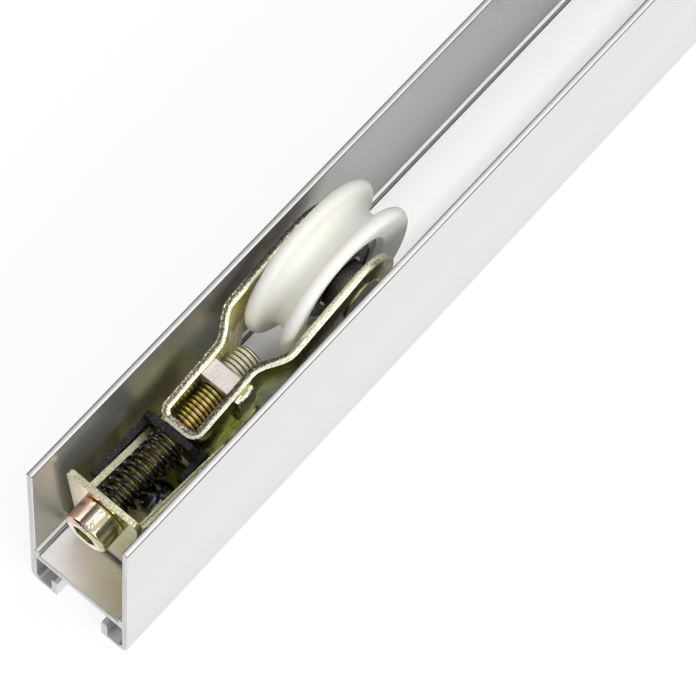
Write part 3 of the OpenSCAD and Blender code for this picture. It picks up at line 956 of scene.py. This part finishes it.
def thread_radius(phase):
    """Radius of an M6 by 1 thread against its phase along one pitch."""
    flat, rise = 0.14, 0.33
    p = phase % 1.0
    if p < rise:
        return ROOT_R + (CREST_R - ROOT_R) * p / rise
    if p < rise + flat:
        return CREST_R
    if p < 2 * rise + flat:
        return CREST_R - (CREST_R - ROOT_R) * (p - rise - flat) / rise
    return ROOT_R


def build_screw():
    bm = bmesh.new()
    layer = bm.loops.layers.uv.verify()
    steps, per = 64, 12
    neck, neck_end, fade_run, chamfer = 2.8, 1.6, 0.6, 0.9
    count = int(SCREW_LENGTH * per)
    rings = []
    for k in range(count + 1):
        x = SCREW_LENGTH * k / count
        ring = []
        for i in range(steps):
            a = 2 * math.pi * i / steps
            r = thread_radius(x + i / steps + 0.37)
            if x < neck_end + fade_run:
                fade = min(max((x - neck_end) / fade_run, 0.0), 1.0)
                r = neck * (1 - fade) + r * fade
            if x > SCREW_LENGTH - chamfer:
                r = min(r, CREST_R - (x - SCREW_LENGTH + chamfer) * 0.75)
            ring.append(bm.verts.new((x, r * math.cos(a), r * math.sin(a))))
        rings.append(ring)
    for k in range(count):
        for i in range(steps):
            j = (i + 1) % steps
            face = bm.faces.new((rings[k][i], rings[k][j], rings[k + 1][j], rings[k + 1][i]))
            for loop in face.loops:
                co = loop.vert.co
                height = (math.hypot(co.y, co.z) - ROOT_R) / (CREST_R - ROOT_R)
                loop[layer].uv = (height, co.x / SCREW_LENGTH)
    bm.faces.new(rings[-1])
    shank = new_object("screw_thread", bm, [THREAD], IN_SCREW, True, 50)
    # head with a rounded front rim and a hexagon socket
    profile = [(2.6, 0.0, 0), (4.72, 0.0, 0)]
    profile += [(4.72 + 0.25 * math.sin(a), -0.25 + 0.25 * math.cos(a), 0) for a in (0.5, 1.1, 1.57)]
    profile += [(5.0, -0.5, 0), (5.0, -4.7, 0)]
    profile += [(4.1 + 0.9 * math.cos(a), -4.95 - 0.85 * math.sin(a), 0) for a in (0.15, 0.5, 0.85, 1.2, 1.5)]
    profile += [(3.9, -5.86, 1), (3.15, -5.9, 1), (2.95, -5.75, 1), (0.0, -5.75, 1)]
    head = lathe("screw_head", profile, [HEAD, FACE], IN_SCREW, 96, "X", False, 40)
    bm = bmesh.new()
    half_flats, socket_turn = 2.5, 12
    reach = half_flats / math.cos(math.radians(30))
    for x in (-7.0, -2.8):
        for i in range(6):
            a = math.radians(60 * i + socket_turn)
            bm.verts.new((x, reach * math.cos(a), reach * math.sin(a)))
    bm.verts.ensure_lookup_table()
    v = bm.verts
    for i in range(6):
        j = (i + 1) % 6
        bm.faces.new((v[i], v[j], v[6 + j], v[6 + i]))
    bm.faces.new([v[i] for i in range(6)][::-1])
    bm.faces.new([v[6 + i] for i in range(6)])
    cutter = new_object("hex", bm, [SOCKET_SHADED], IN_SCREW, False)
    cut(head, [cutter])
    bevel(head, 0.10, 2, 50)
    for ob in (shank, head):
        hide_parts("adjusting_screw")
        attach(ob, "screw")


# ---------------------------------------------------------------- spring


def build_spring():
    wire_r, coil_r = 0.42, 3.66
    x0, x1 = 2.2, 18.7
    turns, per, sides = 8.1, 56, 14
    count = int(turns * per)
    start = math.radians(-70)
    bm = bmesh.new()
    rings = []

    def place(s):
        """Centre of the wire at share s: closed coils at both ends, open ones between."""
        t = s * turns
        dead = 0.45
        if t < dead:
            run = 0.0
        elif t > turns - dead:
            run = 1.0
        else:
            run = (t - dead) / (turns - 2 * dead)
        x = x0 + wire_r + (x1 - x0 - 2 * wire_r) * run
        a = start + 2 * math.pi * t
        return Vector((x, -coil_r * math.sin(a), coil_r * math.cos(a)))

    for k in range(count + 1):
        s = k / count
        c = place(s)
        d = (place(min(s + 0.001, 1.0)) - place(max(s - 0.001, 0.0))).normalized()
        out = Vector((0, c.y, c.z)).normalized()
        up = d.cross(out).normalized()
        ring = []
        for i in range(sides):
            a = 2 * math.pi * i / sides
            ring.append(bm.verts.new(c + out * (wire_r * math.cos(a)) + up * (wire_r * math.sin(a))))
        rings.append(ring)
    for k in range(count):
        for i in range(sides):
            j = (i + 1) % sides
            bm.faces.new((rings[k][i], rings[k][j], rings[k + 1][j], rings[k + 1][i]))
    bm.faces.new(rings[0][::-1])
    bm.faces.new(rings[-1])
    ob = new_object("spring", bm, [WIRE], IN_SCREW, True, 60)
    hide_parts("compression_spring")
    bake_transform(ob)
    washer = [(3.2, 1.62, 0), (3.2, 2.08, 0), (3.3, 2.12, 0), (4.1, 2.12, 0), (4.2, 2.02, 0)]
    washer.append((4.2, 1.62, 0))
    ring = lathe("washer", washer, [BRIGHT], IN_SCREW, 64, "X")
    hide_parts("spring_washer")
    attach(ring, "spring_seat")


# ---------------------------------------------------------------- wheel and bearing


def race(sign):
    """The balls' groove in a bearing ring: 1 for the outer ring and -1 for the inner one."""
    pitch_r, groove_r = 7.5, 2.05
    points = []
    for degrees in (44, 58, 74, 90, 106, 122, 136):
        a = math.radians(degrees)
        points.append((pitch_r + sign * groove_r * math.sin(a), groove_r * math.cos(a), 0))
    return points


def build_wheel():
    half_w, outer, groove = 5.85, 18.5, 3.0
    rim = half_w / 2 - groove / 2
    mid = outer - rim
    # from the bearing seat out over one face, the rim, and down into the groove
    side = [(11.0, 3.45, 0), (11.35, 3.5, 0), (11.5, 3.65, 0), (11.55, 4.5, 0), (11.62, 4.72, 0)]
    side += [(11.8, 4.86, 0), (12.1, 4.92, 0), (13.0, 5.08, 0), (14.5, 5.4, 0), (15.8, 5.68, 0)]
    for degrees in range(-16, 176, 8):
        a = math.radians(degrees)
        side.append((mid + rim * math.sin(a), half_w - rim + rim * math.cos(a), 0))
    for i in range(1, 12):
        a = math.radians(90 - 90 * i / 11)
        side.append((mid - groove * math.cos(a) + 0.02, groove * math.sin(a), 0))
    other = [(r, -t, m) for r, t, m in side[-2::-1]]
    ob = lathe("tyre", side + other, [NYLON], IN_FORK, 160, "Y", True, 45)
    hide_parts("wheel_tyre")
    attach(ob, "wheel")

    outer_ring = [(10.85, 3.5, 0), (9.05, 3.5, 0), (8.9, 3.35, 0), (8.9, 1.5, 0)]
    outer_ring += race(1)
    outer_ring += [(8.9, -1.5, 0), (8.9, -3.35, 0), (9.05, -3.5, 0), (10.85, -3.5, 0)]
    outer_ring += [(11.0, -3.35, 0), (11.0, 3.35, 0)]
    ob = lathe("outer_ring", outer_ring, [POLISHED], IN_FORK, 96, "Y", True, 35)
    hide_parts("bearing_outer_ring")
    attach(ob, "wheel")

    inner_ring = [(4.15, 3.5, 0), (5.95, 3.5, 0), (6.1, 3.35, 0), (6.1, 1.5, 0)]
    inner_ring += race(-1)
    inner_ring += [(6.1, -1.5, 0), (6.1, -3.35, 0), (5.95, -3.5, 0), (4.15, -3.5, 0)]
    inner_ring += [(4.0, -3.35, 0), (4.0, 3.35, 0)]
    ob = lathe("inner_ring", inner_ring, [POLISHED], IN_FORK, 96, "Y", True, 35)
    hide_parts("bearing_inner_ring")
    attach(ob, "carriage")

    seal_half = [(6.3, 3.3), (6.55, 3.32), (6.8, 3.2), (7.2, 3.16), (7.6, 3.28), (8.3, 3.3)]
    seal_half += [(8.6, 3.2), (8.9, 3.28), (8.9, 2.9), (6.3, 2.9)]
    spacer_half = [(4.05, 3.55), (5.2, 3.55), (5.4, 3.75), (5.4, 6.85), (5.2, 7.05), (4.05, 7.05)]
    for side_name, s in (("left", 1), ("right", -1)):
        seal = [(r, t * s, 0) for r, t in seal_half]
        ob = lathe("seal_" + side_name, seal, [SEAL], IN_FORK, 96, "Y", True, 35)
        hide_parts("bearing_seal_" + side_name)
        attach(ob, "wheel")

        spacer = [(r, t * s, 0) for r, t in spacer_half]
        ob = lathe("spacer_" + side_name, spacer, [SPACER], IN_FORK, 64, "Y", True, 35)
        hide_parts("axle_spacer_" + side_name)
        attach(ob, "carriage")


def build_rivet():
    half = [(3.98, 0.0, 0), (3.98, 7.0, 0), (3.0, 7.05, 0), (3.0, 8.92, 0), (5.05, 8.93, 1)]
    # points with material 1 take the rim's painted highlight
    half += [(5.18, 9.0, 1), (5.18, 9.15, 1), (5.08, 9.27, 1), (4.9, 9.33, 1), (4.72, 9.32, 1)]
    half += [(4.6, 9.25, 0), (1.6, 9.26, 0), (1.2, 9.2, 0), (0.0, 9.16, 0)]
    for side_name, s in (("left", 1), ("right", -1)):
        profile = [(r, t * s, m) for r, t, m in half]
        ob = lathe("rivet_" + side_name, profile, [BRONZE, RIM_HIGHLIGHT], IN_FORK, 72, "Y", False, 30)
        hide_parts("axle_rivet")
        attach(ob, "carriage")


def finish_cad_nodes():
    """Sealed inner pieces keep their CAD shape and take a material of their own."""
    for node, mat in (("bearing_balls", POLISHED), ("bearing_cage_left", CAGE), ("bearing_cage_right", CAGE)):
        ob = frame["nodes"][node]
        ob.data.materials.clear()
        ob.data.materials.append(mat)


build_rail()
build_bracket()
build_bracket_screw()
build_fork()
build_shoe()
build_nut()
build_screw()
build_spring()
build_wheel()
build_rivet()
finish_cad_nodes()


# ---------------------------------------------------------------- studio


def area(name, at, target, size, size_y, power):
    """A soft box at one place, aimed at another."""
    light = bpy.data.lights.new(name, "AREA")
    light.shape = "RECTANGLE"
    light.size = size
    light.size_y = size_y
    light.energy = power
    ob = bpy.data.objects.new(name, light)
    bpy.context.scene.collection.objects.link(ob)
    ob.location = at
    ob.rotation_euler = (Vector(target) - Vector(at)).to_track_quat("-Z", "Y").to_euler()


def build_studio():
    bm = bmesh.new()
    for x, y in ((-3, -3), (3, -3), (3, 3), (-3, 3)):
        bm.verts.new((x, y, 0))
    bm.faces.new(bm.verts[:])
    n = Nodes("studio_floor")
    n.set(Base_Color=(0.2, 0.2, 0.2, 1), Roughness=0.9, Emission_Color=(1, 1, 1, 1), Emission_Strength=0.85)
    n.set(Specular_IOR_Level=0.1)
    floor = new_object("studio_floor", bm, [n.mat], Matrix.Translation((0, 0, -0.0002)), False)

    world = bpy.data.worlds.new("studio")
    bpy.context.scene.world = world
    world.use_nodes = True
    tree = world.node_tree
    tree.nodes.clear()
    out = tree.nodes.new("ShaderNodeOutputWorld")
    back = tree.nodes.new("ShaderNodeBackground")
    coord = tree.nodes.new("ShaderNodeTexCoord")
    parts = tree.nodes.new("ShaderNodeSeparateXYZ")
    ramp = tree.nodes.new("ShaderNodeValToRGB")
    tree.links.new(coord.outputs["Generated"], parts.inputs[0])
    # the grey of the surroundings follows height, less a share of X and of Y
    place = parts.outputs[2]
    for axis, share in ((0, -0.4), (1, -0.5)):
        more = tree.nodes.new("ShaderNodeMath")
        more.operation = "MULTIPLY_ADD"
        more.inputs[1].default_value = share
        tree.links.new(parts.outputs[axis], more.inputs[0])
        tree.links.new(place, more.inputs[2])
        place = more.outputs[0]
    tree.links.new(place, ramp.inputs[0])
    ends = ramp.color_ramp.elements
    ends[0].position, ends[0].color = 0.0, (0.05, 0.05, 0.05, 1)
    ends[1].position, ends[1].color = 1.0, (0.95, 0.95, 0.95, 1)
    for pos, grey in ((0.35, 0.10), (0.6, 0.30), (0.8, 0.75)):
        stop = ends.new(pos)
        stop.color = (grey, grey, grey, 1)
    tree.links.new(ramp.outputs[0], back.inputs[0])
    back.inputs[1].default_value = 0.8
    tree.links.new(back.outputs[0], out.inputs[0])

    aim = (-0.06, 0, 0.045)
    area("key_overhead", (0.27, -0.05, 0.95), aim, 0.55, 1.1, 2.5)
    area("side_right", (-0.25, -0.75, 0.75), aim, 0.5, 0.4, 3.6)


def build_camera():
    cam = bpy.data.cameras.new("camera")
    cam.sensor_width = 36.0
    cam.lens = 217.13
    cam.clip_start = 0.05
    cam.clip_end = 20
    ob = bpy.data.objects.new("camera", cam)
    bpy.context.scene.collection.objects.link(ob)
    # the camera's own directions, as unit vectors
    right = Vector((0.648026, -0.759939, 0.050544))
    down = Vector((-0.687054, -0.611932, -0.391787))
    ahead = Vector((0.328663, 0.219162, -0.918667))
    turn = Matrix((right, -down, -ahead)).transposed().to_4x4()
    ob.matrix_world = Matrix.Translation((NEAR - 0.204080, -0.191892, 0.793052)) @ turn
    bpy.context.scene.camera = ob


build_studio()
build_camera()
scene = bpy.context.scene
scene.view_settings.view_transform = "Standard"
scene.view_settings.look = "None"
scene.view_settings.exposure = 0.0
